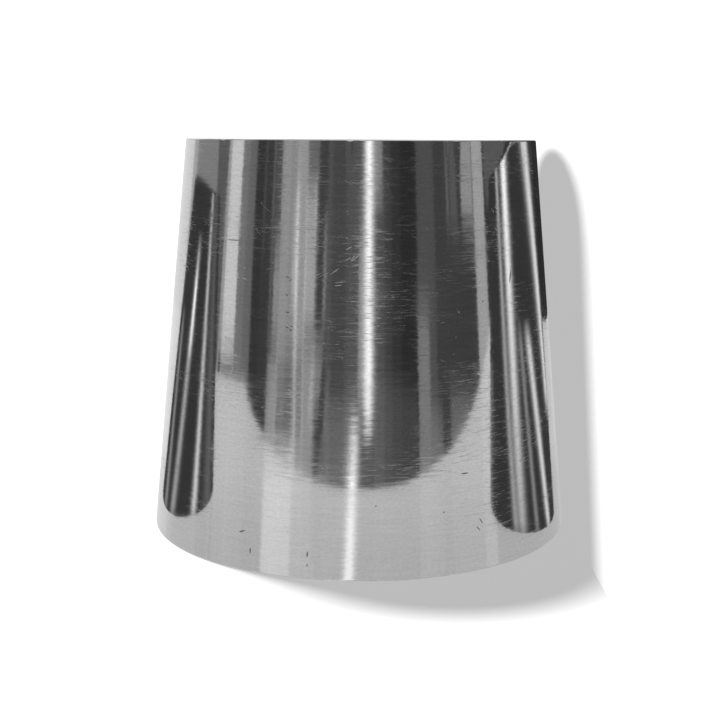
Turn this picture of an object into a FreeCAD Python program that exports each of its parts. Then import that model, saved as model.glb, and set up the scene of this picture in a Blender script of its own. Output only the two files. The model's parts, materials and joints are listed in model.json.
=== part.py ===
import FreeCAD, Part

# Eccentric reducer for stainless tube: a short oblique cone with plain ends.
#
# The real fitting is thin sheet formed into a slanted cone and closed by one butt weld along its
# length. Nothing else is fastened to it, so it comes apart into two pieces only:
#   reducer_shell  the formed sheet, open along a narrow slot where its two edges meet
#   seam_weld      the weld metal that fills that slot, flush outside and a little proud inside
#
# Frame: millimetres, +Z up. The origin is the centre of the large end, which lies on z = 0.
# The straight side, where both ends line up, faces -Y. The seam runs down the sloping side, +Y.

import math
import os

import Sketcher

Vector = FreeCAD.Vector

# name in the sheet, value in millimetres, meaning
SIZES = (
    ("large_diameter", 63.5, "outside diameter of the large end"),
    ("small_diameter", 50.8, "outside diameter of the small end"),
    ("wall", 1.65, "sheet thickness, measured level with the end faces"),
    ("reducer_length", 58.3, "distance from the large end face to the small end face"),
    ("outer_deburr", 0.2, "chamfer on the two outer rims"),
    ("inner_deburr", 0.15, "chamfer on the two inner rims"),
    ("weld_face_width", 3.4, "width of the weld on the outside"),
    ("weld_root_width", 2.2, "width of the weld on the inside"),
    ("weld_root_height", 0.15, "how far the weld's root stands into the bore"),
    ("weld_toe_step", 0.05, "height of the root's two edges above the bore wall"),
    ("weld_overrun", 1.0, "how far the weld's section starts outside the shell"),
)

# Places worked out from the sizes, as expressions on the sheet.
LARGE_OUTER = "sizes.large_diameter"
SMALL_OUTER = "sizes.small_diameter"
LARGE_BORE = "(sizes.large_diameter - 2 * sizes.wall)"
SMALL_BORE = "(sizes.small_diameter - 2 * sizes.wall)"
STRAIGHT_SIDE_SHIFT = "-(sizes.large_diameter - sizes.small_diameter) / 2"
SEAM_AT_LARGE_END = "sizes.large_diameter / 2"
SEAM_AT_SMALL_END = "sizes.small_diameter - sizes.large_diameter / 2"
TOP = "sizes.reducer_length"
BOTTOM = "0"

VOLUME_TOLERANCE = 0.01


def write_sizes(doc):
    """Put each size in its own cell, with its name as the cell's alias."""
    sheet = doc.addObject("Spreadsheet::Sheet", "sizes")
    for row, (name, value, meaning) in enumerate(SIZES, start=1):
        sheet.set(f"A{row}", name)
        sheet.set(f"B{row}", str(value))
        sheet.setAlias(f"B{row}", name)
        sheet.set(f"C{row}", meaning)
    doc.recompute()
    return sheet


def origin_plane(body, role):
    """The body's own origin plane with this role."""
    return next(item for item in body.Origin.OriginFeatures if item.Role == role)


def level_sketch(body, name, shift_y, height):
    """An empty sketch parallel to the end faces, at a height and shifted along Y."""
    sketch = body.newObject("Sketcher::SketchObject", name)
    sketch.AttachmentSupport = [(origin_plane(body, "XY_Plane"), "")]
    sketch.MapMode = "FlatFace"
    sketch.setExpression("AttachmentOffset.Base.y", shift_y)
    sketch.setExpression("AttachmentOffset.Base.z", height)
    return sketch


def name_constraint(sketch, constraint, name, expression):
    """Add a dimension, name it and bind it to the sheet."""
    index = sketch.addConstraint(constraint)
    sketch.renameConstraint(index, name)
    sketch.setExpression(f"Constraints.{name}", expression)


def circle_sketch(body, name, diameter, shift_y, height):
    """One circle about the sketch's origin."""
    sketch = level_sketch(body, name, shift_y, height)
    start_radius = 25
    sketch.addGeometry(Part.Circle(Vector(0, 0, 0), Vector(0, 0, 1), start_radius), False)
    sketch.addConstraint(Sketcher.Constraint("Coincident", 0, 3, -1, 1))
    name_constraint(
        sketch, Sketcher.Constraint("Diameter", 0, 2 * start_radius), "diameter", diameter
    )
    return sketch


def straight_loft(body, kind, name, sections):
    """A loft with straight sides through the sections, added or cut away."""
    loft = body.newObject(kind, name)
    loft.Profile = sections[0]
    loft.Sections = sections[1:]
    loft.Ruled = True
    return loft


def leaning_cone(body, kind, name, large, small, rim_change, rim_depth):
    """A cone that leans towards the straight side, with both of its rims chamfered.

    The circles stand at the two end faces and one chamfer depth inside each of them. Between
    the inner two the diameter and the shift grow in proportion to the height.
    """
    low_share = f"{rim_depth} / sizes.reducer_length"
    high_share = f"(1 - {rim_depth} / sizes.reducer_length)"
    stations = (
        ("large_rim", f"{large} + 2 * {rim_change}", "0", BOTTOM),
        ("large_edge", f"{large} + ({small} - {large}) * {low_share}", low_share, rim_depth),
        (
            "small_edge",
            f"{large} + ({small} - {large}) * {high_share}",
            high_share,
            f"{TOP} - {rim_depth}",
        ),
        ("small_rim", f"{small} + 2 * {rim_change}", "1", TOP),
    )
    circles = [
        circle_sketch(
            body, f"{name}_{label}", diameter, f"{STRAIGHT_SIDE_SHIFT} * {share}", height
        )
        for label, diameter, share, height in stations
    ]
    return straight_loft(body, kind, name, circles)


def outer_cone(doc, name):
    """The filled outer cone with its two outer rims chamfered inwards."""
    body = doc.addObject("PartDesign::Body", name)
    rim = "sizes.outer_deburr"
    leaning_cone(
        body, "PartDesign::AdditiveLoft", f"{name}_cone", LARGE_OUTER, SMALL_OUTER, f"-{rim}", rim
    )
    doc.recompute()
    return body


def bore_the_wall(doc, body):
    """Cut the tapered bore out of the filled cone, with its two rims chamfered outwards."""
    rim = "sizes.inner_deburr"
    leaning_cone(
        body, "PartDesign::SubtractiveLoft", f"{body.Name}_bore", LARGE_BORE, SMALL_BORE, rim, rim
    )
    doc.recompute()
    return body


def weld_section(body, name, shift_y, height):
    """The weld cut across: straight outside, sides that close in, and a rounded root.

    The sketch's origin is on the outer surface of the shell. The section starts outside the
    shell and its root ends inside the bore, so that both of its sides cross the whole wall.
    """
    sketch = level_sketch(body, name, shift_y, height)
    half_face, half_root, depth, start, root = 1.7, 1.1, 1.7, 1.0, 0.1
    corners = (
        Vector(-half_face, start, 0),
        Vector(half_face, start, 0),
        Vector(half_face, 0, 0),
        Vector(half_root, -depth, 0),
        Vector(-half_root, -depth, 0),
        Vector(-half_face, 0, 0),
    )
    for first, second in ((0, 1), (1, 2), (2, 3)):
        sketch.addGeometry(Part.LineSegment(corners[first], corners[second]), False)
    bottom_of_root = Vector(0, -depth - root, 0)
    sketch.addGeometry(Part.Arc(corners[3], bottom_of_root, corners[4]), False)
    for first, second in ((4, 5), (5, 0)):
        sketch.addGeometry(Part.LineSegment(corners[first], corners[second]), False)

    # The arc's own ends run anticlockwise, so its start is the left one.
    for link in ((0, 2, 1, 1), (1, 2, 2, 1), (2, 2, 3, 2), (3, 1, 4, 1), (4, 2, 5, 1), (5, 2, 0, 1)):
        sketch.addConstraint(Sketcher.Constraint("Coincident", *link))
    sketch.addConstraint(Sketcher.Constraint("Vertical", 1))
    sketch.addConstraint(Sketcher.Constraint("PointOnObject", 1, 2, -1))
    for left, right in (((5, 2), (0, 2)), ((5, 1), (1, 2)), ((4, 1), (2, 2))):
        sketch.addConstraint(Sketcher.Constraint("Symmetric", *left, *right, -2))
    dimensions = (
        ("DistanceX", (5, 1, 1, 2), 2 * half_face, "face_width", "sizes.weld_face_width"),
        ("DistanceX", (4, 1, 2, 2), 2 * half_root, "root_width", "sizes.weld_root_width"),
        ("DistanceY", (2, 2, -1, 1), depth, "root_depth", "sizes.wall + sizes.weld_toe_step"),
        ("DistanceY", (-1, 1, 1, 1), start, "overrun", "sizes.weld_overrun"),
    )
    for kind, places, value, label, expression in dimensions:
        constraint = Sketcher.Constraint(kind, *places, value)
        name_constraint(sketch, constraint, label, expression)
    rise = "(sizes.weld_root_height - sizes.weld_toe_step)"
    radius = f"((sizes.weld_root_width / 2)^2 + {rise}^2) / (2 * {rise})"
    start_radius = (half_root**2 + root**2) / (2 * root)
    name_constraint(sketch, Sketcher.Constraint("Radius", 3, start_radius), "root_radius", radius)
    return sketch


def weld_prism(doc, name):
    """The weld's section carried in a straight line down the sloping side."""
    body = doc.addObject("PartDesign::Body", name)
    large = weld_section(body, f"{name}_large_end", SEAM_AT_LARGE_END, BOTTOM)
    small = weld_section(body, f"{name}_small_end", SEAM_AT_SMALL_END, TOP)
    straight_loft(body, "PartDesign::AdditiveLoft", f"{name}_run", [large, small])
    doc.recompute()
    return body


def combine(doc, kind, name, base, tool):
    """A named sub-part from two bodies."""
    piece = doc.addObject(kind, name)
    piece.Label = name
    piece.Base = base
    piece.Tool = tool
    piece.Placement = FreeCAD.Placement()
    return piece


def cone_volume(large_diameter, small_diameter, length):
    """Volume of a cut cone. Leaning it over doesn't change its volume."""
    big = large_diameter / 2
    small = small_diameter / 2
    return math.pi * length / 3 * (big * big + big * small + small * small)


def check_document(doc):
    """Stop if any object failed to rebuild."""
    for item in doc.Objects:
        if {"Invalid", "Error"} & set(item.State):
            raise RuntimeError(f"{item.Name} failed to rebuild: {item.State}")


def check_volumes(sheet, shell, weld):
    """Stop if a cut missed: shell and weld together hold the wall and the weld's root."""
    wall = cone_volume(sheet.large_diameter, sheet.small_diameter, sheet.reducer_length)
    wall -= cone_volume(
        sheet.large_diameter - 2 * sheet.wall,
        sheet.small_diameter - 2 * sheet.wall,
        sheet.reducer_length,
    )
    made = shell.Shape.Volume + weld.Shape.Volume
    print(f"wall by formula {wall:.1f} mm3, shell and weld {made:.1f} mm3")
    if abs(made - wall) > VOLUME_TOLERANCE * wall:
        raise RuntimeError("the shell and its weld don't add up to the wall")


def write_steps(pieces):
    """Check each sub-part and write it to its own file."""
    os.makedirs("parts", exist_ok=True)
    for piece in pieces:
        shape = piece.Shape
        if shape.isNull() or not shape.isValid() or len(shape.Solids) != 1:
            raise RuntimeError(f"{piece.Label} isn't one valid solid")
        shape.exportStep(f"parts/{piece.Label}.step")
        print(f"{piece.Label}: {shape.Volume:.2f} mm3")


def main():
    doc = FreeCAD.newDocument("eccentric_reducer")
    sheet = write_sizes(doc)
    wall_blank = bore_the_wall(doc, outer_cone(doc, "wall_blank"))
    weld_stock = outer_cone(doc, "weld_stock")
    seam_run = weld_prism(doc, "seam_run")
    shell = combine(doc, "Part::Cut", "reducer_shell", wall_blank, seam_run)
    weld = combine(doc, "Part::Common", "seam_weld", weld_stock, seam_run)
    doc.recompute()
    check_document(doc)
    check_volumes(sheet, shell, weld)
    write_steps((shell, weld))


main()
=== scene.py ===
# %% [markdown]
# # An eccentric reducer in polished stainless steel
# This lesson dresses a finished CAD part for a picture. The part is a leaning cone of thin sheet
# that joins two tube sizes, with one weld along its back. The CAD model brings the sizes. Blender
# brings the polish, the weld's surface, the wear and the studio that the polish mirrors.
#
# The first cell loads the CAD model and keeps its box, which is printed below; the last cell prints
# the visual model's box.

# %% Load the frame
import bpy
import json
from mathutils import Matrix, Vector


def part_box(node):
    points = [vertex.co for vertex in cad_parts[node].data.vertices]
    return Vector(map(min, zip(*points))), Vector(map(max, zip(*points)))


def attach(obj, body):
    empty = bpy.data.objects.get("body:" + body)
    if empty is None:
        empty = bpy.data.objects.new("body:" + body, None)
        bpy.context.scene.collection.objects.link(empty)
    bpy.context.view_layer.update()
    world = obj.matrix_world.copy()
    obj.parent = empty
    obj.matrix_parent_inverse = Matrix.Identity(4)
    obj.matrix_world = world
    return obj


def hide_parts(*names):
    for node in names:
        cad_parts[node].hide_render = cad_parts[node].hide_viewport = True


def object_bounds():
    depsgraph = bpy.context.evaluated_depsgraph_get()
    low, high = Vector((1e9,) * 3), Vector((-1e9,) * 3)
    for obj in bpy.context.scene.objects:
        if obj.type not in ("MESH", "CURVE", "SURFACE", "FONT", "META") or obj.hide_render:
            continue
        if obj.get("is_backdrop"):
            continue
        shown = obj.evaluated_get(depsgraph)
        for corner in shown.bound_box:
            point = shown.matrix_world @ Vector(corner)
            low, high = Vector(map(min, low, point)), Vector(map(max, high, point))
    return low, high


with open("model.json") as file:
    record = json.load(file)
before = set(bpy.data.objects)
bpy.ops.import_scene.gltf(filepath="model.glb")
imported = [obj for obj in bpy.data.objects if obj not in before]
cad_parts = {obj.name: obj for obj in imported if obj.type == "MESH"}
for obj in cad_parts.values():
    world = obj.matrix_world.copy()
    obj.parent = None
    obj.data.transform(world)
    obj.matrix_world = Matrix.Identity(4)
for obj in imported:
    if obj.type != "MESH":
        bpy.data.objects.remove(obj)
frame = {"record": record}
cad_box = [list(corner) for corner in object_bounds()]

import json
import math

import bpy
import numpy as np
from mathutils import Matrix, Vector

print("CAD box in mm:", [[round(1000 * value, 2) for value in corner] for corner in cad_box])

# %% [markdown]
# ## Sizes
# A reducer is described by few numbers: two end radii, the length, the wall, and how far the small
# end is shifted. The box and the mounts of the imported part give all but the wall, the deburring
# and the weld, which repeat the CAD model's own values here, in metres.

# %% Sizes from the frame
MM = 0.001
mounts = {mount["name"]: mount for mount in frame["record"]["mounts"]}
shell_low, shell_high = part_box("reducer_shell")

LENGTH = shell_high[2]
LARGE_RADIUS = -shell_low[1]
LEAN = -mounts["small_end"]["pos_m"][1]
SMALL_RADIUS = LARGE_RADIUS - LEAN
WALL = 1.65 * MM
OUTER_ROUND = 0.2 * MM
INNER_ROUND = 0.15 * MM
WELD_FACE = 3.4 * MM
WELD_ROOT = 2.2 * MM
WELD_ROOT_RISE = 0.15 * MM
WELD_TOE = 0.05 * MM
print("large and small radius in mm:", round(LARGE_RADIUS / MM, 3), round(SMALL_RADIUS / MM, 3))

# %% [markdown]
# ## The camera
# The camera stands level with the small end, about three large diameters away and tipped down,
# so the upper rim shows as a straight line and the lower one as a bow. It could be aimed with a
# Track To constraint, but plain numbers keep the view where it is when the part changes.

# %% Camera
LENS_MM = 61.2
CAMERA_BACK = 187.84 * MM
PITCH_DOWN = math.radians(8.485)
ROLL = math.radians(0.32)
VIEW_SHIFT = -0.0529


def add_object(name, data):
    """An object that holds this data, linked to the scene."""
    thing = bpy.data.objects.new(name, data)
    bpy.context.scene.collection.objects.link(thing)
    return thing


def hide_from(thing, *rays):
    """Keep an object or a light out of these kinds of ray."""
    for ray in rays:
        setattr(thing, "visible_" + ray, False)


def add_camera():
    """A pin-hole camera on the -Y side, level with the small end and tipped down."""
    data = bpy.data.cameras.new("camera")
    data.lens = LENS_MM
    data.shift_y = VIEW_SHIFT
    data.dof.use_dof = False
    data.clip_start = 0.01
    data.clip_end = 20.0
    camera = add_object("camera", data)
    tip = Matrix.Rotation(math.pi / 2 - PITCH_DOWN, 4, "X")
    roll = Matrix.Rotation(ROLL, 4, "Z")
    camera.matrix_world = Matrix.Translation((0, -CAMERA_BACK, LENGTH)) @ tip @ roll
    bpy.context.scene.camera = camera


add_camera()
bpy.context.scene.view_settings.view_transform = "Standard"

# %% [markdown]
# ## A grid of points becomes a mesh
# Every new piece here is a surface of two parameters. numpy works out all points at once as a grid
# of rows and columns, and this helper joins neighbouring points into quads. Writing the arrays with
# foreach_set is many times faster than adding vertices one by one.

# %% Grid helper
def grid_quads(rows, columns):
    """Quads of a grid whose rows wrap round: corner (i, j), (i, j+1), (i+1, j+1), (i+1, j)."""
    i, j = np.meshgrid(np.arange(rows), np.arange(columns - 1), indexing="ij")
    after = (i + 1) % rows
    corners = (i * columns + j, i * columns + j + 1, after * columns + j + 1, after * columns + j)
    return np.stack(corners, axis=-1).reshape(-1, 4)


def write_uv(mesh, name, of_vertex):
    """A UV layer in which every face corner takes its vertex's two numbers."""
    vertex = np.empty(len(mesh.loops), dtype=np.int32)
    mesh.loops.foreach_get("vertex_index", vertex)
    layer = mesh.uv_layers.new(name=name)
    layer.uv.foreach_set("vector", of_vertex[vertex].astype(np.float32).ravel())


def mesh_object(name, points, faces, lay, material_of_face, materials):
    """A mesh with a UV layer that holds millimetres along the surface."""
    mesh = bpy.data.meshes.new(name)
    mesh.from_pydata(points.tolist(), [], [list(map(int, face)) for face in faces])
    write_uv(mesh, "lay", lay)
    for material in materials:
        mesh.materials.append(material)
    mesh.polygons.foreach_set("material_index", material_of_face.astype(np.int32))
    mesh.polygons.foreach_set("use_smooth", np.ones(len(mesh.polygons), dtype=bool))
    mesh.set_sharp_from_angle(angle=math.radians(40))
    mesh.validate()
    piece = add_object(name, mesh)
    triangles = sum(len(face) - 2 for face in faces)
    print(f"{name}: {len(points)} points, {triangles} triangles")
    return piece

# %% [markdown]
# ## The leaning cone
# On a right cone every level circle has its centre on one axis. On an eccentric reducer the centres
# move in a straight line towards one side while the radius shrinks by the same amount, so that side
# stays upright. A point is named by its angle round the cone, its depth under the outer surface
# and its height.
#
# Real spun or pressed sheet is never perfectly round. Waves a few hundredths of a millimetre high
# bend the mirrored lines a little, which the eye reads as sheet metal instead of glass.

# %% Cone formula
WAVES = (
    # waves round the cone, waves along it, height in mm, phase
    (3, 0.5, 0.030, 0.4),
    (7, 0.8, 0.006, 2.1),
    (11, 1.3, 0.0030, 4.0),
    (17, 0.7, 0.0016, 1.2),
    (5, 2.3, 0.0020, 5.3),
)


def radius_at(height):
    """The outer radius falls in proportion to the height."""
    return LARGE_RADIUS + (SMALL_RADIUS - LARGE_RADIUS) * height / LENGTH


def waviness(angle, height):
    """A sum of slow sine waves round and along the sheet, nothing at both rims."""
    total = 0.0
    for around, along, size, phase in WAVES:
        total = total + size * MM * np.sin(around * angle + phase) * np.cos(
            2 * math.pi * along * height / LENGTH + 2 * phase
        )
    fade = np.clip(4 * height / LENGTH, 0, 1) * np.clip(4 * (1 - height / LENGTH), 0, 1)
    return total * fade


def cone_points(angle, inset, height):
    """Centre of the level circle plus radius less inset in the direction of the angle."""
    reach = radius_at(height) - inset + waviness(angle, height)
    x = reach * np.cos(angle)
    y = -LEAN * height / LENGTH + reach * np.sin(angle)
    return np.stack([x, y, height + 0 * x], axis=-1)

# %% [markdown]
# ## The wall's outline
# The sheet cut along its length is a slim upright strip with four rounded corners: two where the
# rims were deburred outside and two inside. The outline is walked once round, and each point says
# how deep and how high it lies and which finish it has. Smooth shading blends the directions of the
# faces that meet at a row, so a guard row beside each rim keeps the rounding's tilt out of the flat
# wall. Without it everything mirrored near the rims would bend away.

# %% Wall outline
OUTSIDE, CUT_EDGE, BORE = 0, 1, 2


def quarter_arc(centre, radius, start, steps=5):
    """Points on a quarter circle, from 90 degrees past the start angle back to it."""
    turn = start + np.linspace(0, math.pi / 2, steps + 1)[::-1]
    return np.stack([centre[0] + radius * np.cos(turn), centre[1] + radius * np.sin(turn)], -1)


def rows_to_rims(rim, wall_steps, guard=0.05 * MM):
    """Even heights between the rounded rims, with one guard row close to each rim."""
    between_guards = np.linspace(rim + guard, LENGTH - rim - guard, wall_steps + 1)
    return np.concatenate([[rim], between_guards, [LENGTH - rim]])


def wall_outline(wall_steps=22):
    """Inset and height round the sheet's section, anticlockwise with the outside at inset 0."""
    rises = rows_to_rims(OUTER_ROUND, wall_steps)
    falls = rows_to_rims(INNER_ROUND, wall_steps)[::-1]
    outside = np.stack([0 * rises, rises], -1)
    bore = np.stack([WALL + 0 * falls, falls], -1)
    outer_r, inner_r = OUTER_ROUND, INNER_ROUND
    top_outer = quarter_arc((outer_r, LENGTH - outer_r), outer_r, math.pi / 2)
    top_inner = quarter_arc((WALL - inner_r, LENGTH - inner_r), inner_r, 0)
    low_inner = quarter_arc((WALL - inner_r, inner_r), inner_r, -math.pi / 2)
    low_outer = quarter_arc((outer_r, outer_r), outer_r, math.pi)
    parts = (
        (outside[:-1], OUTSIDE),
        (top_outer, CUT_EDGE),
        (top_inner[:-1], CUT_EDGE),
        (bore[:-1], BORE),
        (low_inner, CUT_EDGE),
        (low_outer[:-1], CUT_EDGE),
    )
    points = np.concatenate([part for part, _ in parts])
    finish = np.concatenate([np.full(len(part), kind) for part, kind in parts])
    return points, finish

# %% [markdown]
# ## The slot for the weld
# The sheet's two edges stop short of each other at the back. The slot is wide outside and narrower
# inside, with flat sides that run straight down the slope, so the angle at which the sheet stops
# depends on depth and height. A few rounds of substitution find it.

# %% Slot angle
def slot_half_angle(inset, height):
    """Angle from the seam's middle at which a flat slot side cuts the circle at this inset."""
    narrowing = (WELD_FACE - WELD_ROOT) / 2 / (WALL + WELD_TOE)
    outer = radius_at(height)
    reach = outer - inset
    angle = 0 * reach
    for _ in range(6):
        below_face = outer - reach * np.cos(angle)
        angle = np.arcsin((WELD_FACE / 2 - narrowing * below_face) / reach)
    return angle

# %% [markdown]
# ## Nicks on the rims
# Thin rims get dented in the store. Each nick is a small bell-shaped dip at its own place round the
# rim. A displacement texture would need a far finer mesh, so the dips are added to the rim's points
# only, as one array sum over all nicks.

# %% Nicks
RIM_NICKS = 46
rng = np.random.default_rng(7)


def nick_depth(angle, places, sizes):
    """Sum of bell curves round the rim: depth times exp(-(angle from the nick / width) squared)."""
    depth = 0 * angle
    for place, (size, width) in zip(places, sizes):
        away = np.angle(np.exp(1j * (angle - place)))
        depth = depth + size * np.exp(-((away / width) ** 2))
    return depth


def random_nicks(count):
    """Places round the rim, with a depth in metres and a half width in radians for each."""
    places = rng.uniform(0, 2 * math.pi, count)
    depths = rng.exponential(0.035 * MM, count).clip(0.01 * MM, 0.12 * MM)
    widths = rng.uniform(0.006, 0.02, count)
    return places, np.stack([depths, widths], -1)

# %% [markdown]
# ## The shell
# Columns run round the cone from one slot side to the other, rows run round the outline. The two
# slot sides are flat, so each is closed with one face.

# %% Shell
def build_shell(materials, columns=900):
    """The outline swept round the leaning cone, with nicked rims and closed slot sides."""
    outline, finish = wall_outline()
    inset = outline[:, :1]
    height = outline[:, 1:]
    gap = slot_half_angle(inset, height)
    share = np.linspace(0, 1, columns)[None, :]
    angle = math.pi / 2 + gap + share * (2 * math.pi - 2 * gap)

    top_dip = nick_depth(angle, *random_nicks(RIM_NICKS))
    low_dip = nick_depth(angle, *random_nicks(RIM_NICKS))
    near_top = np.clip(1 - (LENGTH - height) / (2 * OUTER_ROUND), 0, 1)
    near_bottom = np.clip(1 - height / (2 * OUTER_ROUND), 0, 1)
    outer_share = np.clip(1 - inset / WALL, 0, 1) ** 2
    dip = (near_top * top_dip + near_bottom * low_dip) * outer_share
    moved_height = height - near_top * top_dip * outer_share + near_bottom * low_dip * outer_share

    points = cone_points(angle, inset + 0.6 * dip, moved_height)
    rows = len(outline)
    along = height + 0 * angle + inset * (finish[:, None] == CUT_EDGE)
    lay = np.stack([angle * LARGE_RADIUS / MM, along / MM], -1)

    quads = grid_quads(rows, columns)
    first_side = np.arange(rows) * columns
    last_side = first_side[::-1] + columns - 1
    faces = list(quads) + [first_side, last_side]
    kinds = np.concatenate([np.repeat(finish, columns - 1), [CUT_EDGE, CUT_EDGE]])
    return mesh_object(
        "shell_polished", points.reshape(-1, 3), faces, lay.reshape(-1, 2), kinds, materials
    )

# %% [markdown]
# ## The weld
# The weld is laid in the slot in one pass. Outside it was ground flush and polished with the sheet,
# which leaves a crown of two hundredths of a millimetre. Inside, the root is as it froze: a low
# ridge of overlapping crescents, one for each small step of the torch. Each row of points is one
# section across the weld, and the crescents come from a bowed saw-tooth wave along the seam.

# %% Weld
CROWN = 0.02 * MM
CRESCENT_STEP = 0.75 * MM
CRESCENT_HEIGHT = 0.045 * MM
CRESCENT_BOW = 0.5 * MM


def weld_heights(step=0.11 * MM, rim_rows=5):
    """Row heights: close together on the rounded rims, evenly spaced between them."""
    arc = OUTER_ROUND * (1 - np.cos(np.linspace(0, math.pi / 2, rim_rows + 1)[:-1]))
    middle = np.linspace(OUTER_ROUND, LENGTH - OUTER_ROUND, int(LENGTH / step))
    return np.concatenate([arc, middle, (LENGTH - arc)[::-1]])


def rim_round(height):
    """How far the rounded rim lies inside the cone: radius minus the circle's half chord."""
    from_end = np.minimum(height, LENGTH - height)
    short = np.clip(OUTER_ROUND - from_end, 0, OUTER_ROUND)
    return OUTER_ROUND - np.sqrt(OUTER_ROUND**2 - short**2)


def crescents(across, height):
    """Saw-tooth along the seam, bowed so that each tooth is a crescent open downwards."""
    phase = (height + CRESCENT_BOW * (1 - across**2)) / CRESCENT_STEP
    tooth = phase - np.floor(phase)
    return (1 - across**2) * (0.5 - np.abs(tooth**1.6 - 0.5))


def build_weld(materials, face_points=11, root_points=13):
    """Sections across the weld stacked up the seam: face, slot side, root, slot side."""
    height = weld_heights()[:, None]
    gap = slot_half_angle(0 * height, height)
    across = np.linspace(1, -1, face_points)[None, :]
    crown = CROWN * (1 - across**2)
    face = cone_points(math.pi / 2 - across * gap, rim_round(height) - crown, height)

    root_across = np.linspace(-1, 1, root_points)[None, :]
    fade = np.clip(height / MM, 0, 1) * np.clip((LENGTH - height) / MM, 0, 1)
    rise = WELD_TOE + (WELD_ROOT_RISE - WELD_TOE) * (1 - root_across**2)
    rise = rise + 2 * CRESCENT_HEIGHT * crescents(root_across, height) * fade
    root_x = WELD_ROOT / 2 * root_across + 0 * height
    root_y = -LEAN * height / LENGTH + radius_at(height) - WALL - rise
    root = np.stack([root_x, root_y, height + 0 * root_x], -1)

    section = np.concatenate([face, root], axis=1)
    rows, around = section.shape[:2]
    kinds_round = np.array([OUTSIDE] * face_points + [BORE] * root_points)
    kinds_round[[face_points - 1, -1]] = CUT_EDGE
    side = np.concatenate([across * WELD_FACE / 2 + 0 * height, root_x], axis=1)
    lay = np.stack([side / MM, height / MM + 0 * side], -1)

    loop = section.transpose(1, 0, 2)
    quads = grid_quads(around, rows)[:, ::-1]
    low_end = (np.arange(around) * rows)[::-1]
    high_end = np.arange(around) * rows + rows - 1
    faces = list(quads) + [low_end, high_end]
    kinds = np.concatenate([np.repeat(kinds_round, rows - 1), [CUT_EDGE, CUT_EDGE]])
    return mesh_object(
        "weld_seam", loop.reshape(-1, 3), faces, lay.transpose(1, 0, 2).reshape(-1, 2), kinds,
        materials,
    )

# %% [markdown]
# ## Small tools for node trees
# A material is a graph of nodes. These helpers add a node, feed a socket with either a number or
# another node's output, and do sums, so that each finish below reads almost like a formula.

# %% Node helpers
def add_node(tree, kind, **settings):
    """A new node of this kind with its settings."""
    node = tree.nodes.new(kind)
    for name, value in settings.items():
        setattr(node, name, value)
    return node


def feed(tree, socket, value):
    """Link an output to the socket, or set the socket to a plain value."""
    if isinstance(value, bpy.types.NodeSocket):
        tree.links.new(value, socket)
    else:
        socket.default_value = value


def new_material(name):
    """A material with nodes, and its tree."""
    material = bpy.data.materials.new(name)
    material.use_nodes = True
    return material, material.node_tree


def sums(tree, operation, *values, clamp=False):
    """One step of arithmetic on numbers."""
    node = add_node(tree, "ShaderNodeMath", operation=operation, use_clamp=clamp)
    for socket, value in zip(node.inputs, values):
        feed(tree, socket, value)
    return node.outputs[0]


def vector_sums(tree, operation, *values):
    """One step of arithmetic on vectors, where a number counts as three of itself."""
    node = add_node(tree, "ShaderNodeVectorMath", operation=operation)
    for socket, value in zip(node.inputs, values):
        feed(tree, socket, value)
    return node.outputs[0]


def length_of(tree, vector):
    """How long a vector is."""
    node = add_node(tree, "ShaderNodeVectorMath", operation="LENGTH")
    feed(tree, node.inputs[0], vector)
    return node.outputs["Value"]


def parts_of(tree, vector):
    """A vector's three numbers, named X, Y and Z."""
    node = add_node(tree, "ShaderNodeSeparateXYZ")
    feed(tree, node.inputs[0], vector)
    return node.outputs


def ramp(tree, value, low, high, to_low=0.0, to_high=1.0):
    """A smooth step of value from low to high."""
    node = add_node(tree, "ShaderNodeMapRange", interpolation_type="SMOOTHSTEP")
    for socket, number in zip(node.inputs, (value, low, high, to_low, to_high)):
        feed(tree, socket, number)
    return node.outputs["Result"]


def stretched(tree, lay, length, spacing, shift=0.0):
    """The lay coordinates divided by a length along the surface and a spacing across it."""
    split = parts_of(tree, lay)
    joined = add_node(tree, "ShaderNodeCombineXYZ")
    feed(tree, joined.inputs["X"], sums(tree, "DIVIDE", split["X"], length))
    feed(tree, joined.inputs["Y"], sums(tree, "DIVIDE", split["Y"], spacing))
    joined.inputs["Z"].default_value = shift
    return joined.outputs[0]


def noise(tree, place, scale=1.0, detail=2.0, roughness=0.5):
    """Noise over a place. Its colour holds three patterns that don't depend on each other."""
    node = add_node(tree, "ShaderNodeTexNoise")
    feed(tree, node.inputs["Vector"], place)
    node.inputs["Scale"].default_value = scale
    node.inputs["Detail"].default_value = detail
    node.inputs["Roughness"].default_value = roughness
    return node


FLOAT, VECTOR = "NodeSocketFloat", "NodeSocketVector"


def new_group(name, numbers, outputs):
    """A shader group that takes the lay and named numbers, and its two end nodes."""
    group = bpy.data.node_groups.new(name, "ShaderNodeTree")
    group.interface.new_socket("Lay", in_out="INPUT", socket_type=VECTOR)
    for label, default in numbers.items():
        socket = group.interface.new_socket(label, in_out="INPUT", socket_type=FLOAT)
        socket.default_value = default
    for label, kind in outputs.items():
        group.interface.new_socket(label, in_out="OUTPUT", socket_type=kind)
    return group, add_node(group, "NodeGroupInput"), add_node(group, "NodeGroupOutput")


def use_group(tree, group, **values):
    """A group placed in a tree, its inputs fed by name with underscores for spaces."""
    node = add_node(tree, "ShaderNodeGroup", node_tree=group)
    for name, value in values.items():
        feed(tree, node.inputs[name.replace("_", " ")], value)
    return node

# %% [markdown]
# ## Polishing lines
# The part was spun against an abrasive belt, so fine lines run round it. Each leans the surface a
# little up or down, and a little sideways, which frays the edges of everything mirrored in it.
# Bump from a height texture could do the up and down, but at this fineness the height would need
# far more detail than a render shows. Leaning the normal directly by noise stretched along the
# lines does both and stays smooth. The group gives that normal, the pattern and the haze.

# %% Polishing lines
HAZE_LINES = (0.52, 0.68)
HAZE_PATCHES = (0.42, 0.60)


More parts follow.
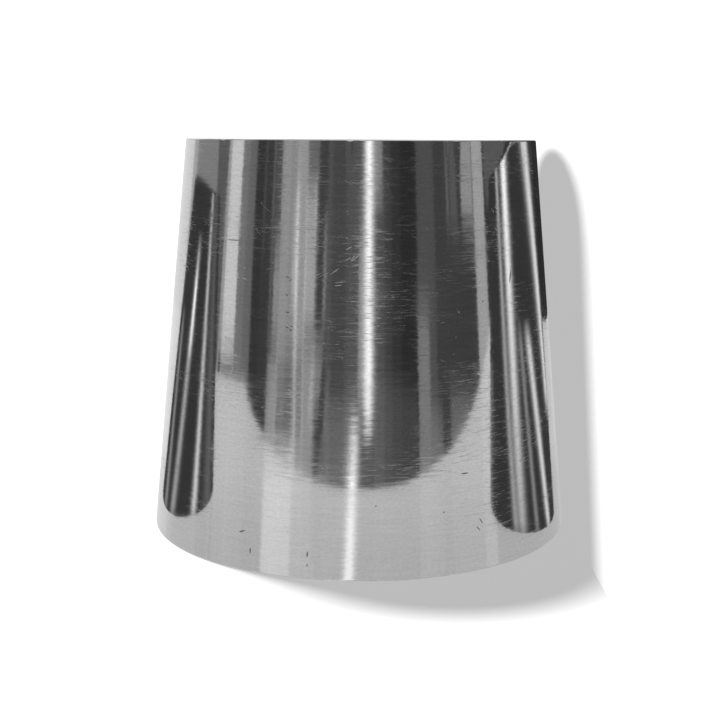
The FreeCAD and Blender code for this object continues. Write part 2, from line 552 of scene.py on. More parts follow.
def make_polish_lines():
    """Normal + round-the-part direction * sway * noise + up direction * tilt * noise.

    The noise is one coarse and one fine set of lines added up. Haze marks the few fine lines that
    scatter light, and only in broad patches.
    """
    group, given, made = new_group(
        "polish_lines",
        {"Length": 6.0, "Spacing": 0.4, "Tilt": 0.02, "Sway": 0.02},
        {"Normal": VECTOR, "Pattern": FLOAT, "Haze": FLOAT},
    )
    pull = given.outputs
    place = stretched(group, pull["Lay"], pull["Length"], pull["Spacing"])
    coarse = noise(group, place, detail=3.0)
    finer = [
        sums(group, "MULTIPLY", pull["Length"], 0.35), sums(group, "MULTIPLY", pull["Spacing"], 0.3)
    ]
    fine = noise(group, stretched(group, pull["Lay"], *finer, shift=5.0), detail=2.0, roughness=0.7)
    mixed = vector_sums(group, "ADD", coarse.outputs["Color"], fine.outputs["Color"])
    parts = parts_of(group, vector_sums(group, "SUBTRACT", mixed, (1.0, 1.0, 1.0)))

    normal = add_node(group, "ShaderNodeNewGeometry").outputs["Normal"]
    around = vector_sums(group, "NORMALIZE", vector_sums(group, "CROSS_PRODUCT", (0, 0, 1), normal))
    upward = vector_sums(group, "CROSS_PRODUCT", normal, around)
    side_lean = sums(group, "MULTIPLY", parts["X"], pull["Sway"])
    up_lean = sums(group, "MULTIPLY", parts["Y"], pull["Tilt"])
    leaned = vector_sums(group, "MULTIPLY_ADD", around, side_lean, normal)
    leaned = vector_sums(group, "MULTIPLY_ADD", upward, up_lean, leaned)
    feed(group, made.inputs["Normal"], vector_sums(group, "NORMALIZE", leaned))
    feed(group, made.inputs["Pattern"], sums(group, "ADD", parts["Z"], 0.5, clamp=True))

    split = add_node(group, "ShaderNodeSeparateColor")
    feed(group, split.inputs[0], fine.outputs["Color"])
    patch = noise(group, stretched(group, pull["Lay"], 16.0, 7.0, shift=2.2), detail=2.0).outputs[0]
    lines = ramp(group, split.outputs[1], *HAZE_LINES)
    patches = ramp(group, patch, *HAZE_PATCHES)
    feed(group, made.inputs["Haze"], sums(group, "MULTIPLY", lines, patches))
    return group


POLISH_LINES = make_polish_lines()

# %% [markdown]
# ## Scratches and pits
# Handling leaves fine scratches, and the sheet has a few small dark pits. The finishes below make
# the scratches rougher and also paint them brighter than the metal, a painted glint. A scratch is
# where stretched, turned noise crosses its middle value, which gives thin wandering lines; a
# second, coarse noise keeps them only in patches. A pit is the middle of a random cell, kept where
# the cell's own random number is high.

# %% Scratches and pits
def make_scratches():
    """1 where turned and stretched noise is close to one half, times patches of coarse noise."""
    group, given, made = new_group(
        "fine_scratches",
        {"Turn": 0.5, "Length": 7.0, "Spacing": 1.2, "Thinness": 0.012, "Cover": 0.4},
        {"Mask": FLOAT},
    )
    pull = given.outputs
    turn = add_node(group, "ShaderNodeVectorRotate", rotation_type="Z_AXIS")
    feed(group, turn.inputs["Vector"], pull["Lay"])
    feed(group, turn.inputs["Angle"], pull["Turn"])
    place = stretched(group, turn.outputs[0], pull["Length"], pull["Spacing"], shift=3.7)
    field = noise(group, place, detail=1.5).outputs[0]
    from_middle = sums(group, "ABSOLUTE", sums(group, "SUBTRACT", field, 0.5))
    line = ramp(group, from_middle, 0.0, pull["Thinness"], 1.0, 0.0)
    patch_place = stretched(group, turn.outputs[0], 5.0, 2.2, shift=9.1)
    patch = noise(group, patch_place, detail=1.0).outputs[0]
    threshold = sums(group, "SUBTRACT", 1.0, pull["Cover"])
    kept = ramp(group, patch, threshold, sums(group, "ADD", threshold, 0.06))
    feed(group, made.inputs["Mask"], sums(group, "MULTIPLY", line, kept))
    return group


def make_pits():
    """1 near the middle of the few random cells whose own random number is high."""
    group, given, made = new_group(
        "small_pits", {"Cell": 3.0, "Width": 0.07, "Share": 0.2}, {"Mask": FLOAT}
    )
    pull = given.outputs
    cells = add_node(group, "ShaderNodeTexVoronoi")
    feed(group, cells.inputs["Vector"], stretched(group, pull["Lay"], pull["Cell"], pull["Cell"]))
    cells.inputs["Scale"].default_value = 1.0
    split = add_node(group, "ShaderNodeSeparateColor")
    feed(group, split.inputs[0], cells.outputs["Color"])
    chosen = sums(group, "LESS_THAN", split.outputs[0], pull["Share"])
    size = sums(group, "MULTIPLY", pull["Width"], sums(group, "ADD", split.outputs[1], 0.3))
    core = sums(group, "MULTIPLY", size, 0.4)
    spot = ramp(group, cells.outputs["Distance"], core, size, 1.0, 0.0)
    feed(group, made.inputs["Mask"], sums(group, "MULTIPLY", spot, chosen))
    return group


SCRATCHES = make_scratches()
PITS = make_pits()
print("shader groups:", [group.name for group in bpy.data.node_groups])

# %% [markdown]
# ## The finishes
# All finishes are bare metal, so each is one Principled shader with Metallic at 1. What tells them
# apart is how rough they are, how strongly and how finely the polishing lines lean the normal, and
# how worn they are. The outside is close to a mirror, the bore is satin, the rims were filed.

# %% Finish recipe
HAZE_ROUGHNESS = 0.20
SCRATCH_ROUGHNESS = 0.34
# how much brighter the scratches are painted than the bare metal: a painted glint
SCRATCH_GLINT = 0.25
PIT_ROUGHNESS = 0.25
PIT_DARKNESS = 0.7
GRAIN_DEPTH = 0.12
LINE_CONTRAST = 0.16
LEAST_ROUGHNESS = 0.03


def grey_colour(tree, shade):
    """A colour whose three channels are one number."""
    colour = add_node(tree, "ShaderNodeCombineColor")
    for channel in colour.inputs:
        feed(tree, channel, shade)
    return colour.outputs[0]


def make_finish(
    name, grey, roughness, spread, lines, scratches, pits, stain=0.0, marks=(), scores=()
):
    """Metal whose roughness is a base plus lines, haze, smears, scratches and pits."""
    material, tree = new_material(name)
    shader = tree.nodes["Principled BSDF"]
    shader.inputs["Metallic"].default_value = 1.0
    lay = add_node(tree, "ShaderNodeUVMap", uv_map="lay").outputs[0]

    polish = use_group(tree, POLISH_LINES, Lay=lay, **lines)
    feed(tree, shader.inputs["Normal"], polish.outputs["Normal"])

    scratch_and_glint = 0.0
    for layer in scratches:
        mask = use_group(tree, SCRATCHES, Lay=lay, **layer).outputs["Mask"]
        scratch_and_glint = sums(tree, "MAXIMUM", mask, scratch_and_glint)
    for score in scores:
        scratch_and_glint = sums(tree, "MAXIMUM", mark_mask(tree, lay, *score), scratch_and_glint)
    holes = use_group(tree, PITS, Lay=lay, **pits).outputs["Mask"]
    for mark in marks:
        holes = sums(tree, "MAXIMUM", mark_mask(tree, lay, *mark), holes)
    smear = noise(tree, stretched(tree, lay, 14.0, 5.0, shift=1.3), detail=3.0).outputs[0]

    rough = sums(tree, "MULTIPLY_ADD", polish.outputs["Pattern"], spread, roughness - spread / 2)
    rough = sums(tree, "ADD", rough, ramp(tree, smear, 0.45, 0.75, 0.0, 0.5 * spread))
    rough = sums(tree, "MULTIPLY_ADD", polish.outputs["Haze"], HAZE_ROUGHNESS, rough)
    rough = sums(tree, "MULTIPLY_ADD", scratch_and_glint, SCRATCH_ROUGHNESS, rough)
    rough = sums(tree, "MULTIPLY_ADD", holes, PIT_ROUGHNESS, rough)
    feed(tree, shader.inputs["Roughness"], sums(tree, "MAXIMUM", rough, LEAST_ROUGHNESS))

    dark = sums(tree, "MULTIPLY", holes, PIT_DARKNESS)
    dark = sums(tree, "ADD", dark, ramp(tree, smear, 0.4, 0.8, 0.0, stain))
    grain = noise(tree, stretched(tree, lay, 0.5, 0.34, shift=8.0), detail=3.0, roughness=0.7)
    dark = sums(tree, "ADD", dark, ramp(tree, grain.outputs[0], 0.25, 0.75, 0.0, GRAIN_DEPTH))
    shade = sums(tree, "SUBTRACT", 1.0, dark, clamp=True)
    darkest = (1 - LINE_CONTRAST / 2) * grey
    streaky = sums(tree, "MULTIPLY_ADD", polish.outputs["Pattern"], LINE_CONTRAST * grey, darkest)
    # the scratches' colour is painted brighter here, a painted glint on top of the real roughness
    # they add above
    streaky = sums(tree, "MULTIPLY_ADD", scratch_and_glint, SCRATCH_GLINT * grey, streaky)
    colour = grey_colour(tree, sums(tree, "MULTIPLY", shade, streaky))
    feed(tree, shader.inputs["Base Color"], colour)
    return material

# %% [markdown]
# A few marks are too plain to leave to the noise: a hairline and a stroke near the small end, and
# dashes and specks near the large end. Each is an oval, so its mask is the distance from its middle
# in half lengths and half widths. Their places are measured, then rounded to half a millimetre
# along the surface: round the part from straight ahead, and up from the large end. Sprays of
# bright scratches and of dirt are scattered about a middle instead.

# %% Single marks
AHEAD = 1.5 * math.pi * LARGE_RADIUS / MM
MARKS = (
    # right of straight ahead, height, half length, half width, turn in degrees
    (-21.5, 45.0, 1.7, 0.08, 0),
    (-15.5, 3.0, 0.15, 0.55, 0),
    (-7.0, 3.5, 0.15, 0.55, -5),
    (-7.0, 2.0, 0.10, 0.30, 0),
    (-17.0, 5.5, 0.70, 0.15, 20),
    (15.5, 14.0, 0.75, 0.12, 0),
    (18.0, 7.0, 0.65, 0.10, -55),
    (17.5, 6.0, 0.60, 0.10, -50),
    (12.0, 9.0, 0.15, 0.15, 0),
    (21.0, 9.0, 0.12, 0.20, 0),
    (26.5, 40.0, 0.20, 1.10, -15),
)
SCRATCH_SPRAYS = (
    # middle of the spray: right of straight ahead and height, reach either way round the part and
    # along it, how many, usual turn in degrees, greatest half length
    (-5, 41, 2.0, 1.5, 5, 25, 1.6),
    (-1, 44, 1.0, 1.5, 4, 35, 1.3),
    (-2, 49, 0.3, 0.5, 2, 0, 0.3),
    (12, 35, 3.5, 1.0, 4, 0, 0.8),
    (23, 48, 1.0, 1.5, 3, -45, 1.2),
    (-20, 38, 2.0, 4.0, 3, -40, 0.6),
)
DIRT_SPRAYS = ((-11, 34, 0.8, 7.0, 7, 0, 0.4),)
# least and greatest half width
SCRATCH_WIDTHS = (0.03, 0.07)
DIRT_WIDTHS = (0.08, 0.14)


def scattered(sprays, widths, seed):
    """Ovals spread evenly about each spray's middle, turned about its usual turn."""
    chance = np.random.default_rng(seed)
    for right, height, reach, rise, count, turn, longest in sprays:
        for _ in range(count):
            sideways, upwards = chance.uniform(-1, 1, 2)
            yield (
                right + reach * sideways, height + rise * upwards,
                longest * chance.uniform(0.4, 1), chance.uniform(*widths),
                turn + chance.normal(0, 10),
            )


def mark_mask(tree, lay, right, height, half_length, half_width, turn):
    """1 inside an oval, falling to 0 at its rim."""
    place = add_node(tree, "ShaderNodeMapping", vector_type="TEXTURE")
    feed(tree, place.inputs["Vector"], lay)
    place.inputs["Location"].default_value = (AHEAD + right, height, 0)
    place.inputs["Rotation"].default_value = (0, 0, math.radians(turn))
    place.inputs["Scale"].default_value = (half_length, half_width, 1)
    return ramp(tree, length_of(tree, place.outputs[0]), 0.45, 1.0, 1.0, 0.0)

# %% [markdown]
# Four directions of scratches and one field of pits are enough for the outside. The weld gets the
# same recipe with its lines crossing the seam, because it was dressed on its own before the sheet
# and the weld were polished together.

# %% Finishes
HANDLING = (
    {"Turn": 0.42, "Length": 11.0, "Spacing": 1.7, "Thinness": 0.005, "Cover": 0.31},
    {"Turn": -0.35, "Length": 9.0, "Spacing": 1.5, "Thinness": 0.004, "Cover": 0.29},
    {"Turn": 0.04, "Length": 12.0, "Spacing": 0.9, "Thinness": 0.004, "Cover": 0.35},
    {"Turn": 1.1, "Length": 5.0, "Spacing": 1.4, "Thinness": 0.005, "Cover": 0.29},
)
FEW_PITS = {"Cell": 2.2, "Width": 0.07, "Share": 0.12}

MIRROR = make_finish(
    "mirror_polish", 0.68, 0.070, 0.08,
    {"Length": 7.0, "Spacing": 0.42, "Tilt": 0.020, "Sway": 0.015}, HANDLING, FEW_PITS,
    marks=[*MARKS, *scattered(DIRT_SPRAYS, DIRT_WIDTHS, seed=4)],
    scores=list(scattered(SCRATCH_SPRAYS, SCRATCH_WIDTHS, seed=11)),
)
FILED = make_finish(
    "filed_rim", 0.66, 0.17, 0.14,
    {"Length": 1.6, "Spacing": 0.25, "Tilt": 0.10, "Sway": 0.10}, HANDLING[:1], FEW_PITS,
)
SATIN = make_finish(
    "satin_bore", 0.55, 0.33, 0.16,
    {"Length": 12.0, "Spacing": 0.5, "Tilt": 0.12, "Sway": 0.05}, HANDLING[:2], FEW_PITS, 0.10,
)
WELD_OUTSIDE = make_finish(
    "weld_polish", 0.60, 0.15, 0.10,
    {"Length": 0.8, "Spacing": 5.0, "Tilt": 0.05, "Sway": 0.09}, HANDLING[:1],
    {"Cell": 1.1, "Width": 0.09, "Share": 0.22},
)
WELD_ROOT_SKIN = make_finish(
    "weld_root", 0.50, 0.30, 0.12,
    {"Length": 2.0, "Spacing": 0.9, "Tilt": 0.12, "Sway": 0.12}, HANDLING[:1], FEW_PITS, 0.25,
)
print("finishes:", [material.name for material in bpy.data.materials][-5:])

# %% [markdown]
# ## Put the two pieces in place
# Both pieces stand for CAD nodes of the same shape and ride on the part's only body.

# %% Pieces
shell = build_shell((MIRROR, FILED, SATIN))
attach(shell, "root")
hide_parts("reducer_shell")

weld = build_weld((WELD_OUTSIDE, FILED, WELD_ROOT_SKIN))
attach(weld, "root")
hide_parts("seam_weld")


def signed_volume(piece):
    """Volume by the divergence sum over triangles: positive when the faces point outwards."""
    mesh = piece.data
    mesh.calc_loop_triangles()
    corners = np.empty(len(mesh.loop_triangles) * 3, dtype=np.int32)
    mesh.loop_triangles.foreach_get("vertices", corners)
    place = np.empty(len(mesh.vertices) * 3)
    mesh.vertices.foreach_get("co", place)
    a, b, c = place.reshape(-1, 3)[corners.reshape(-1, 3)].transpose(1, 0, 2)
    return float(np.einsum("ij,ij->i", a, np.cross(b, c)).sum() / 6)


# the soft light ignores the pieces, so the cast shadow is one even grey right up to the metal
for piece in (shell, weld):
    hide_from(piece, "diffuse")
    print(piece.name, "volume in mm3:", round(signed_volume(piece) / MM**3, 1))

# %% [markdown]
# ## The floor
# A plain pale floor takes the soft shadow. It is hidden from mirrored rays, because a pure white
# floor would wash the metal out; a greyer tabletop takes its place in them further down. Everything
# from here on is stage: it isn't part of the object.

# %% Floor
def flat_sheet(name, corners, height):
    """One face from corner points at one height."""
    mesh = bpy.data.meshes.new(name)
    mesh.from_pydata([(x, y, height) for x, y in corners], [], [range(len(corners))])
    sheet = add_object(name, mesh)
    sheet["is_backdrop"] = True
    return sheet


def seen_only_in_polish(thing):
    """Hide a stage object from everything but mirrored rays."""
    hide_from(thing, "camera", "diffuse", "shadow", "transmission")


PAPER_WHITE = PAPER_ROUGHNESS = 0.9
FLOOR_REACH = 4.0
FLOOR_LEVEL = -0.05 * MM
SQUARE = FLOOR_REACH * np.array([(-1, -1), (1, -1), (1, 1), (-1, 1)])
floor = flat_sheet("floor", SQUARE, FLOOR_LEVEL)
hide_from(floor, "glossy", "diffuse")


def matt_paper(name):
    """A matt pale surface without any shine."""
    material, tree = new_material(name)
    paper = tree.nodes["Principled BSDF"]
    paper.inputs["Base Color"].default_value = (*[PAPER_WHITE] * 3, 1)
    paper.inputs["Roughness"].default_value = PAPER_ROUGHNESS
    paper.inputs["Specular IOR Level"].default_value = 0.0
    return material, tree


floor.data.materials.append(matt_paper("pale_floor")[0])

# %% [markdown]
# ## The backdrop
# A light that throws a shadow forward on the floor can't throw one to the side as well. A pale card
# that leans over the part from the right catches the second shadow. It could be in the way in views
# from the right, so its back is see-through.

# %% Backdrop
BACKDROP_SIDE = 32.2 * MM
BACKDROP_REACH = 0.6
BACKDROP_LEAN = 4.2 / 58.3


def add_backdrop():
    """A card leaning over the part from the right, seen and lit only from its front."""
    foot = np.array([BACKDROP_SIDE, 0, FLOOR_LEVEL])
    along = np.array([0, -BACKDROP_REACH, 0])
    rise = np.array([-BACKDROP_LEAN, 0, 1]) * BACKDROP_REACH
    corners = [foot - along, foot + along, foot + along + rise, foot - along + rise]
    mesh = bpy.data.meshes.new("backdrop")
    mesh.from_pydata(corners, [], [(0, 1, 2, 3)])
    card = add_object("backdrop", mesh)
    card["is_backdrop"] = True
    hide_from(card, "glossy", "shadow", "diffuse")
    material, tree = matt_paper("backdrop_paper")
    choice = add_node(tree, "ShaderNodeMixShader")
    feed(tree, choice.inputs[0], add_node(tree, "ShaderNodeNewGeometry").outputs["Backfacing"])
    feed(tree, choice.inputs[1], tree.nodes["Principled BSDF"].outputs[0])
    feed(tree, choice.inputs[2], add_node(tree, "ShaderNodeBsdfTransparent").outputs[0])
    feed(tree, tree.nodes["Material Output"].inputs["Surface"], choice.outputs[0])
    card.data.materials.append(material)
    print("backdrop faces", [round(value, 2) for value in mesh.polygons[0].normal])
    return card


backdrop = add_backdrop()

# %% [markdown]
# ## The tabletop
# Mirrored rays meet this sheet instead of the floor. Its far edge is what draws the bow across the
# front of the part, and its side edges run up the flanks.

# %% Tabletop
# corners in mm, round the table from its near left corner
TABLE_CORNERS = (
    (-158, -79), (115, -73), (500, -60), (500, 215),
    (173, 222), (-235, 290), (-228, 60), (-197, -21),
)
table = flat_sheet("tabletop", [(x * MM, y * MM) for x, y in TABLE_CORNERS], 0.0)
seen_only_in_polish(table)

# %% [markdown]
# The tabletop is glossy itself, so it shows the room upside down on top of its own pale grey. A
# see-through shader added to the glow does that at no cost: the ray goes on below the table and
# meets the room's lower half, which holds the same panels and a streak for the lamp.

# %% Tabletop glow
TABLE_GREY = 0.70
# painted shade: the glow is darkest within TABLE_CLOSE of the part and reaches TABLE_GREY at
# TABLE_AWAY
TABLE_SHADED_GREY = 0.60
TABLE_GLOSS = 0.25
TABLE_CLOSE, TABLE_AWAY = 30 * MM, 90 * MM


def glow_material(name):
    """A surface that only glows, with its emission node ready to be fed."""
    material, tree = new_material(name)
    tree.nodes.remove(tree.nodes["Principled BSDF"])
    glow = add_node(tree, "ShaderNodeEmission")
    feed(tree, tree.nodes["Material Output"].inputs["Surface"], glow.outputs[0])
    material.cycles.emission_sampling = "NONE"
    return material, tree, glow


def glossy_table():
    """Pale glow, darkened near the part by painted shade, plus a tinted view of the room below."""
    material, tree, glow = glow_material("table_glow")
    away = length_of(tree, add_node(tree, "ShaderNodeTexCoord").outputs["Object"])
    grey = ramp(tree, away, TABLE_CLOSE, TABLE_AWAY, TABLE_SHADED_GREY, TABLE_GREY)
    feed(tree, glow.inputs["Strength"], grey)
    through = add_node(tree, "ShaderNodeBsdfTransparent")
    through.inputs["Color"].default_value = (*[TABLE_GLOSS] * 3, 1)
    both = add_node(tree, "ShaderNodeAddShader")
    feed(tree, both.inputs[0], glow.outputs[0])
    feed(tree, both.inputs[1], through.outputs[0])
    feed(tree, tree.nodes["Material Output"].inputs["Surface"], both.outputs[0])
    return material


table.data.materials.append(glossy_table())

# %% [markdown]
# ## Two dark posts
# A polished cone mirrors its whole surroundings, and a plain white studio would leave it without
# form. Studios stand black flags beside shiny things for this. Here two short dark posts do it, one
# on each side. They are seen only in the polish and glow instead of being lit: a faint dark glow,
# with narrow bright lines that are painted highlights, worked out from the direction round each
# post.

# %% Posts
POSTS = (
    # name, foot centre, foot radius, top centre, top radius, height in mm, rise of the lid towards
    # the back per mm, seam in degrees, then bright lines, which are painted highlights: direction
    # round the post at the foot and at the top in degrees, half width, glow at the foot and at the
    # top, lowest and highest share of the height
    (
        "post_left", (-62.5, -2.0), 23.0, (-53.0, -8.0), 11.5, 52.0, 0.15, 180,
        (
            (323, 315, 3.3, 0.85, 0.60, 0.00, 1.10),
            (350, 343, 3.5, 0.40, 0.60, 0.00, 0.88),
            (349, 343, 2.2, 0.80, 1.00, 0.52, 0.78),
            (364, 380, 4.0, 0.28, 0.28, 0.00, 0.64),
            (300, 300, 9.0, 0.12, 0.08, 0.00, 1.10),
        ),
    ),
    (
        "post_right", (55.5, -12.5), 21.0, (47.5, -10.5), 17.0, 60.0, 0.4, 0,
        (
            (197.5, 216.5, 3.8, 0.50, 1.50, 0.00, 1.10),
            (204, 229, 2.5, 0.40, 0.55, 0.00, 1.10),
            (146, 184.5, 5.5, 1.00, 0.90, 0.30, 1.10),
            (170, 207, 2.8, 0.90, 0.90, 0.00, 0.56),
            (184, 210, 1.8, 0.28, 0.28, 0.00, 0.58),
            (246, 246, 7.0, 0.09, 0.09, 0.00, 0.50),
        ),
    ),
)
POST_GREY = 0.05
LINE_LEAD, LINE_END_SOFT = 0.05, 0.08


def bell(tree, value, centre, width):
    """exp(-((value - centre) / width) squared)."""
    away = sums(tree, "DIVIDE", sums(tree, "SUBTRACT", value, centre), width)
    return sums(tree, "EXPONENT", sums(tree, "MULTIPLY", sums(tree, "MULTIPLY", away, away), -1.0))


def between(tree, value, low, high, soft):
    """1 from low to high, falling to 0 within a soft edge that lies inside them."""
    rising = sums(tree, "DIVIDE", sums(tree, "SUBTRACT", value, low), soft, clamp=True)
    falling = sums(tree, "DIVIDE", sums(tree, "SUBTRACT", high, value), soft, clamp=True)
    return sums(tree, "MULTIPLY", rising, falling)


def add_post(name, foot, foot_radius, top, top_radius, height, lid_rise, seam, lines, sides=96):
    """A leaning, tapered tube with a sloping lid, mapped by direction round it and height."""
    turn = np.linspace(0, 2 * math.pi, sides + 1) + math.radians(seam)
    circle = np.stack([np.cos(turn), np.sin(turn), 0 * turn], -1)
    low = circle * foot_radius + (*foot, 0)
    high = circle * top_radius + (*top, height)
    high[:, 2] += lid_rise * top_radius * circle[:, 1]
    step = np.arange(sides)
    across = sides + 1
    faces = np.stack([step, step + 1, step + 1 + across, step + across], -1).tolist()
    faces.append((step + across).tolist())
    mesh = bpy.data.meshes.new(name)
    mesh.from_pydata((np.concatenate([low, high]) * MM).tolist(), [], faces)
    around = np.stack([np.tile(np.degrees(turn), 2), np.repeat([0, 1], across)], -1)
    write_uv(mesh, "round", around)
    post = add_object(name, mesh)
    post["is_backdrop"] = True
    seen_only_in_polish(post)

    material, tree, glow = glow_material(name)
    split = parts_of(tree, add_node(tree, "ShaderNodeUVMap", uv_map="round").outputs[0])
    light = POST_GREY
    # each bright line is a painted highlight that glows on the post, added to its faint dark glow
    for at_foot, at_top, width, foot_glow, top_glow, low, high in lines:
        centre = sums(tree, "MULTIPLY_ADD", split["Y"], at_top - at_foot, at_foot)
        line = bell(tree, split["X"], centre, width)
        highlight_glow = sums(tree, "MULTIPLY_ADD", split["Y"], top_glow - foot_glow, foot_glow)
        reach = between(tree, split["Y"], low - LINE_LEAD, high, LINE_END_SOFT)
        line = sums(tree, "MULTIPLY", line, sums(tree, "MULTIPLY", highlight_glow, reach))
        light = sums(tree, "ADD", line, light)
    feed(tree, glow.inputs["Strength"], light)
    post.data.materials.append(material)


for post in POSTS:
    add_post(*post)

# %% [markdown]
# ## The room
# Beyond the tabletop the polish mirrors a dim room with grey cards, dark gaps and a bright strip
# lamp. The world's background can tell rays apart: what the camera sees past the floor is white,
# what mirrored rays see is the room, and what lights the floor is an even soft grey. The room is a
# list of upright panels named by the direction in which they start, turned into a colour ramp.
# Patches then brighten or darken parts of it.

# %% Room panels
PANELS = (
    # starts at this many degrees right of straight ahead of the part, glow
    (-180, 0.60), (-166, 0.84), (-136, 0.50), (-128, 0.30), (-102, 0.14), (-92, 0.45),
    (-89.5, 0.82), (-80, 0.24), (-74, 0.19), (-68, 0.05), (-62, 0.06), (-54, 0.11),
    (-50, 0.42), (-44.5, 0.36), (-40.5, 0.46), (-37, 0.44), (-32.5, 0.18), (-26.5, 0.07),
    (-20.5, 0.12), (-17, 0.09), (-9, 0.12), (9, 0.11), (13, 0.075), (18, 0.05),
    (23, 0.035), (33, 0.11), (45, 0.07), (53, 0.065), (72.5, 0.50), (81, 0.04),
    (138, 0.03), (166, 0.35),
)
PATCHES = (
    # starts and ends at these degrees at a rise of -12, degrees it leans per degree of rise,
    # lowest and highest rise, glow
    (-55.0, -49.0, 0.00, -40, -8.5, 0.30),
    (-52.5, -49.5, 0.00, -9, -3.5, 0.28),
    (-55.0, -54.0, 0.00, -9, 5, 0.14),
    (-61.0, -60.0, 0.00, -5, 5, 0.06),
    (-38.0, -36.5, -0.12, -16, -1, 0.34),
    (-33.0, -26.5, 0.00, -9, -1.5, 0.34),
    (-33.0, -26.5, 0.00, -40, -8.5, 0.22),
    (-27.5, -26.5, 0.00, -5, -1.5, 0.30),
    (-21.5, -20.0, 0.00, -9, -3, 0.26),
    (-29.0, -23.0, 0.90, -13, -8.5, 0.26),
    (-19.5, -18.0, 1.25, -17, -10, 0.10),
    (-18.5, -2.0, 1.25, -40, -11.5, 0.11),
    (5.0, 13.0, 0.00, -3.5, 5, 0.22),
    (33.5, 40.5, 0.00, -40, -6.5, 0.17),
    (40.5, 48.0, 0.00, -40, -11.0, 0.12),
    (53.0, 72.5, 0.00, -40, -10.0, 0.13),
    (53.5, 55.0, 0.00, -4, 5, 0.13),
    (56.0, 61.0, 0.00, -4, 5, 0.07),
    (64.0, 72.5, 0.00, -3, 5, 0.34),
    (83.0, 104.0, 0.00, -1.5, 6, 0.10),
    (-54.5, -38.0, 0.00, -40, -13.6, 0.75),
    (-90.5, -79.0, 0.00, -40, -7.2, -0.58),
    (8.5, 32.5, 0.00, -40, -10.4, 0.05),
    (-48.5, -33.0, 0.00, -14.2, -8.5, -0.17),
    (-41.0, -37.5, 0.00, -7.5, -2.0, 0.22),
    (-1.0, 3.5, 0.00, -13.0, -4.0, 0.28),
)
PLACED_AT_RISE = -12.0
PATCH_EDGE, PATCH_FADE = 0.7, 1.5
# direction and width in degrees, glow
STRIP_LAMP = (4.9, 2.3, 1.45)
STRIP_LAMP_LOW = -13.2
FLOOR_STREAK = (-2.0, 2.6, 1.0)
FLOOR_STREAK_DRIFT = 0.40
FLOOR_STREAK_FADE = (-13.9, -12.2)
TABLE_STREAK_FADE = (-17.0, -15.6)
TABLE_STREAK_GLOW = 2.0
CEILING_FROM, CEILING_FULL, CEILING_GLOW = 14.0, 50.0, 0.85
FLOOR_LIGHT = 0.56
CAMERA_WHITE = 1.2


def panel_ramp(tree, direction):
    """The panels as a stepped colour ramp over the full turn."""
    ramp_node = add_node(tree, "ShaderNodeValToRGB")
    feed(tree, ramp_node.inputs[0], sums(tree, "MULTIPLY_ADD", direction, 1 / 360, 0.5))
    stops = ramp_node.color_ramp
    stops.interpolation = "CONSTANT"
    stops.elements.remove(stops.elements[1])
    for index, (start, light) in enumerate(PANELS):
        place = start / 360 + 0.5
        stop = stops.elements[0] if index == 0 else stops.elements.new(place)
        stop.position = place
        stop.color = (light, light, light, 1)
    return ramp_node.outputs["Color"]


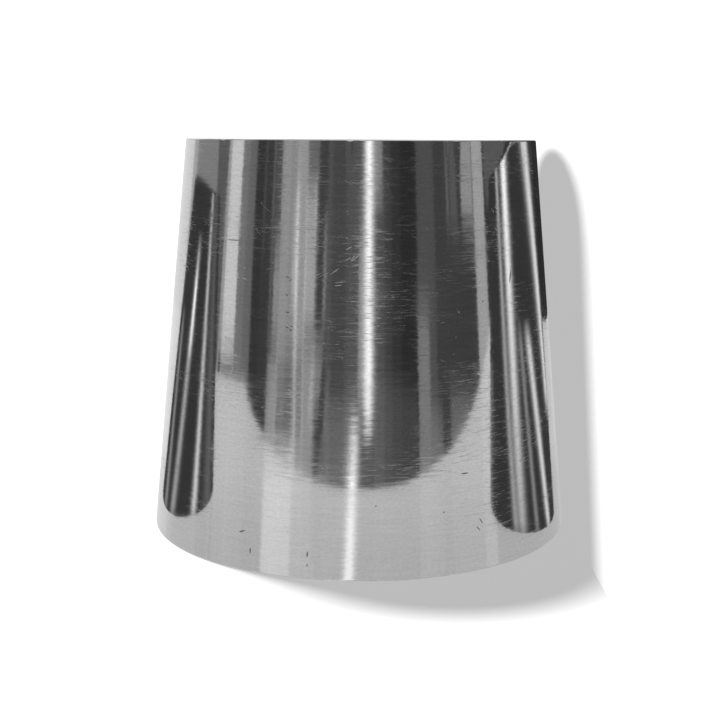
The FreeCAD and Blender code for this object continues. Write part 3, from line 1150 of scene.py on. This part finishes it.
def make_room():
    """White to the camera, panels and lamps to mirrored rays, soft grey to everything else."""
    world = bpy.data.worlds.new("studio")
    bpy.context.scene.world = world
    world.use_nodes = True
    world.cycles.sampling_method = "NONE"
    tree = world.node_tree
    split = parts_of(tree, add_node(tree, "ShaderNodeTexCoord").outputs["Generated"])
    ahead = sums(tree, "MULTIPLY", split["Y"], -1.0)
    direction = sums(tree, "DEGREES", sums(tree, "ARCTAN2", split["X"], ahead))
    rise = sums(tree, "DEGREES", sums(tree, "ARCSINE", split["Z"]))

    light = panel_ramp(tree, direction)
    centre, width, glow = STRIP_LAMP
    lamp = sums(tree, "MULTIPLY", bell(tree, direction, centre, width), glow)
    lamp = sums(tree, "MULTIPLY", lamp, ramp(tree, rise, STRIP_LAMP_LOW - 1, STRIP_LAMP_LOW + 1))
    light = sums(tree, "ADD", light, lamp)
    centre, width, glow = FLOOR_STREAK
    above = sums(tree, "SUBTRACT", rise, PLACED_AT_RISE)
    drift = sums(tree, "MULTIPLY_ADD", above, FLOOR_STREAK_DRIFT, centre)
    glow = ramp(tree, rise, *TABLE_STREAK_FADE, glow + TABLE_STREAK_GLOW, glow)
    streak = sums(tree, "MULTIPLY", bell(tree, direction, drift, width), glow)
    streak = sums(tree, "MULTIPLY", streak, ramp(tree, rise, *FLOOR_STREAK_FADE, 1.0, 0.0))
    light = sums(tree, "ADD", light, streak)
    for start, end, lean, low, high, glow in PATCHES:
        upright = direction
        if lean:
            upright = sums(tree, "SUBTRACT", direction, sums(tree, "MULTIPLY", above, lean))
        patch = between(tree, upright, start - PATCH_EDGE / 2, end + PATCH_EDGE / 2, PATCH_EDGE)
        patch = sums(tree, "MULTIPLY", patch, between(tree, rise, low, high, PATCH_FADE))
        light = sums(tree, "MULTIPLY_ADD", patch, glow, light)

    ceiling = ramp(tree, rise, CEILING_FROM, CEILING_FULL)
    light = sums(tree, "MULTIPLY", light, sums(tree, "SUBTRACT", 1.0, ceiling))
    light = sums(tree, "MULTIPLY_ADD", ceiling, CEILING_GLOW, light)

    ray = add_node(tree, "ShaderNodeLightPath")
    mirrored = ray.outputs["Is Glossy Ray"]
    light = sums(tree, "MULTIPLY", light, mirrored)
    soft = sums(tree, "MULTIPLY", sums(tree, "SUBTRACT", 1.0, mirrored), FLOOR_LIGHT)
    light = sums(tree, "ADD", light, soft)
    white = sums(tree, "MULTIPLY", ray.outputs["Is Camera Ray"], CAMERA_WHITE)
    light = sums(tree, "MAXIMUM", light, white)
    background = tree.nodes["Background"]
    background.inputs["Color"].default_value = (1, 1, 1, 1)
    feed(tree, background.inputs["Strength"], light)


make_room()

# %% [markdown]
# ## Two lights
# The key light comes from above, from behind and a little from the left, and casts the shadow on
# the floor. The fill light comes from the left and casts the one on the backdrop. With light
# linking each reaches only the sheet it is meant for, so neither brightens the other's shadow.
# Both are hidden from mirrored rays, because the strip lamp already gives the metal its streak.

# %% Key and fill lights
LIGHTS = (
    # name, direction of travel, strength, width of the light in degrees, what it lights
    ("key_light", (12.5, -12.5, -58.3), 2.6, 8.0, floor),
    ("fill_light", (1.0, 0.0, -0.45), 2.8, 26.0, backdrop),
)


def add_sun(name, travel, strength, softness, lit):
    """A sun along one direction that lights one sheet; its width makes the shadow's edge soft."""
    data = bpy.data.lights.new(name, "SUN")
    data.energy = strength
    data.angle = math.radians(softness)
    sun = add_object(name, data)
    sun.rotation_euler = Vector(travel).to_track_quat("-Z", "Y").to_euler()
    hide_from(sun, "glossy")
    receivers = bpy.data.collections.new(name + "_lights")
    receivers.objects.link(lit)
    sun.light_linking.receiver_collection = receivers


for light in LIGHTS:
    add_sun(*light)

# %% [markdown]
# ## The visual box
# The visual model should keep the CAD model's size, so its box is printed here, as the CAD box was
# at the start.

# %% Visual box
visual_box = [list(corner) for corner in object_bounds()]
print("visual box in mm:", [[round(value / MM, 2) for value in corner] for corner in visual_box])
